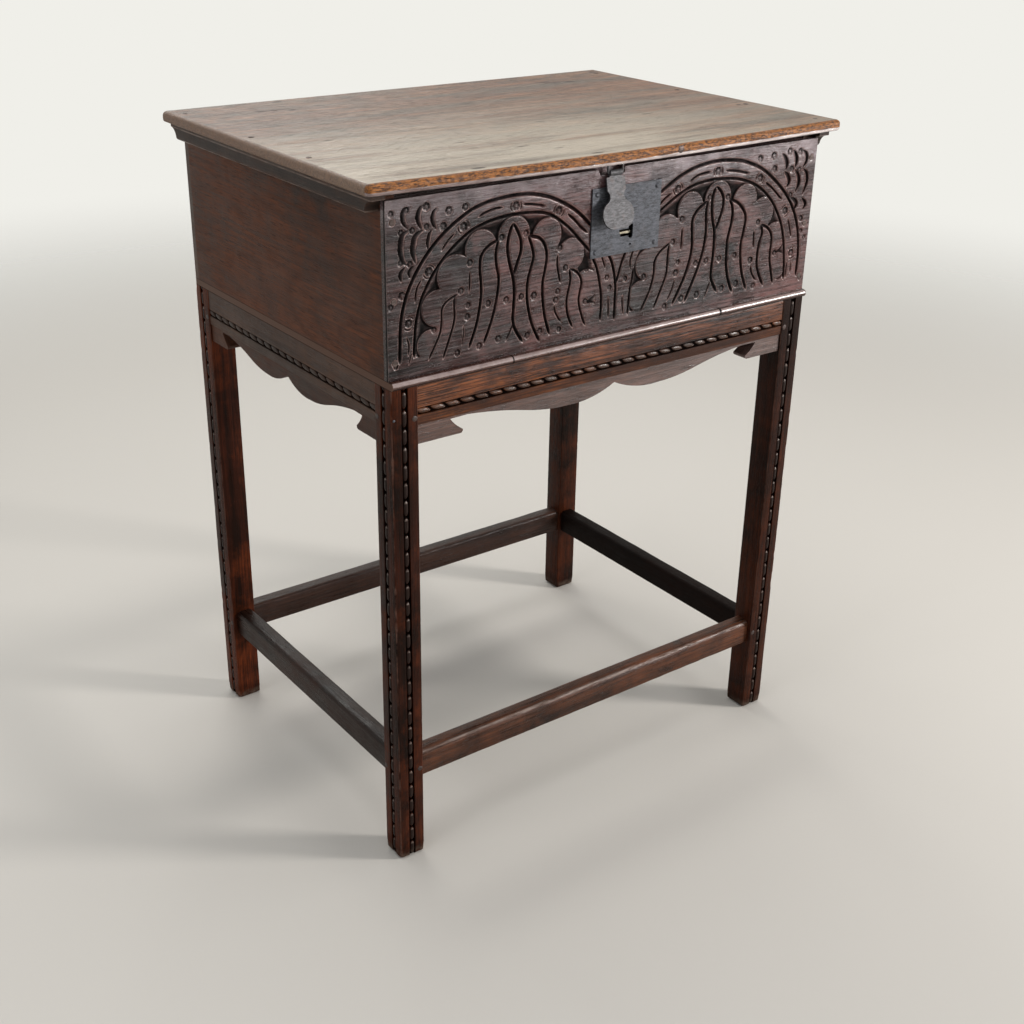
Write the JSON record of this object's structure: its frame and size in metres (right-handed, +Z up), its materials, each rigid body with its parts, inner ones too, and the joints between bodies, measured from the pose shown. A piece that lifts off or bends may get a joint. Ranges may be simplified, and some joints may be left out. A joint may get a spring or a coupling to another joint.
{
  "type": "bible box on stand",
  "caption": "Carved oak box with a hinged lid, hasp and lock, for books and papers, on a joined oak stand with fretted aprons and low stretchers.",
  "frame": {"origin": "on the floor under the middle of the whole object", "axes": "+X to the right seen from the front, +Y to the back, +Z up; the carved front with its lock faces -Y"},
  "size_m": [0.741, 0.5431, 0.914],
  "materials": {
    "box_oak": "dark waxed oak",
    "lid_oak": "dark waxed oak, worn",
    "floor_oak": "dark oak, dry",
    "stand_oak": "dark waxed oak",
    "peg_oak": "dark end grain",
    "wrought_iron": "dark, lightly rusted",
    "bright_iron": "rubbed bright by the key"
  },
  "bodies": {
    "box_and_stand": {"front_board": "box_oak", "back_board": "box_oak", "end_board_left": "box_oak", "end_board_right": "box_oak", "floor_board_left": "floor_oak", "floor_board_middle": "floor_oak", "floor_board_right": "floor_oak", "front_nails": "wrought_iron", "back_nails": "wrought_iron", "floor_nails": "wrought_iron", "box_hinge_eye_left": "wrought_iron", "box_hinge_eye_right": "wrought_iron", "lock_plate": "wrought_iron", "lock_plate_nails": "wrought_iron", "lock_cover": "wrought_iron", "bolt_guide_left": "wrought_iron", "bolt_guide_right": "wrought_iron", "bolt_spring": "wrought_iron", "key_pin": "wrought_iron", "lock_ward": "bright_iron", "leg_front_left": "stand_oak", "leg_front_right": "stand_oak", "leg_back_left": "stand_oak", "leg_back_right": "stand_oak", "rail_front": "stand_oak", "rail_back": "stand_oak", "rail_left": "stand_oak", "rail_right": "stand_oak", "apron_front": "stand_oak", "apron_left": "stand_oak", "apron_right": "stand_oak", "stretcher_front": "stand_oak", "stretcher_back": "stand_oak", "stretcher_left": "stand_oak", "stretcher_right": "stand_oak", "rail_pegs": "peg_oak", "stretcher_pegs": "peg_oak", "apron_nails": "wrought_iron"},
    "lid": {"lid_board": "lid_oak", "lid_cleat_left": "lid_oak", "lid_cleat_right": "lid_oak", "lid_nails": "wrought_iron", "lid_hinge_eye_left": "wrought_iron", "lid_hinge_eye_right": "wrought_iron", "lid_staple": "wrought_iron"},
    "hasp": {"hasp": "wrought_iron", "hasp_loop": "wrought_iron"},
    "bolt": {"lock_bolt": "wrought_iron"}
  },
  "joints": [
    {"name": "lid_hinge", "type": "hinge", "parent": "box_and_stand", "child": "lid", "pos_m": [0, 0.2634, 0.893], "axis": [-1, 0, 0], "range_deg": [0, 100]},
    {"name": "hasp_hinge", "type": "hinge", "parent": "lid", "child": "hasp", "pos_m": [-0.0185, -0.2605, 0.8875], "axis": [-1, 0, 0], "range_deg": [-12, 136]},
    {"name": "bolt_slide", "type": "slide", "parent": "box_and_stand", "child": "bolt", "axis": [-1, 0, 0], "range_m": [0, 0.009]}
  ]
}
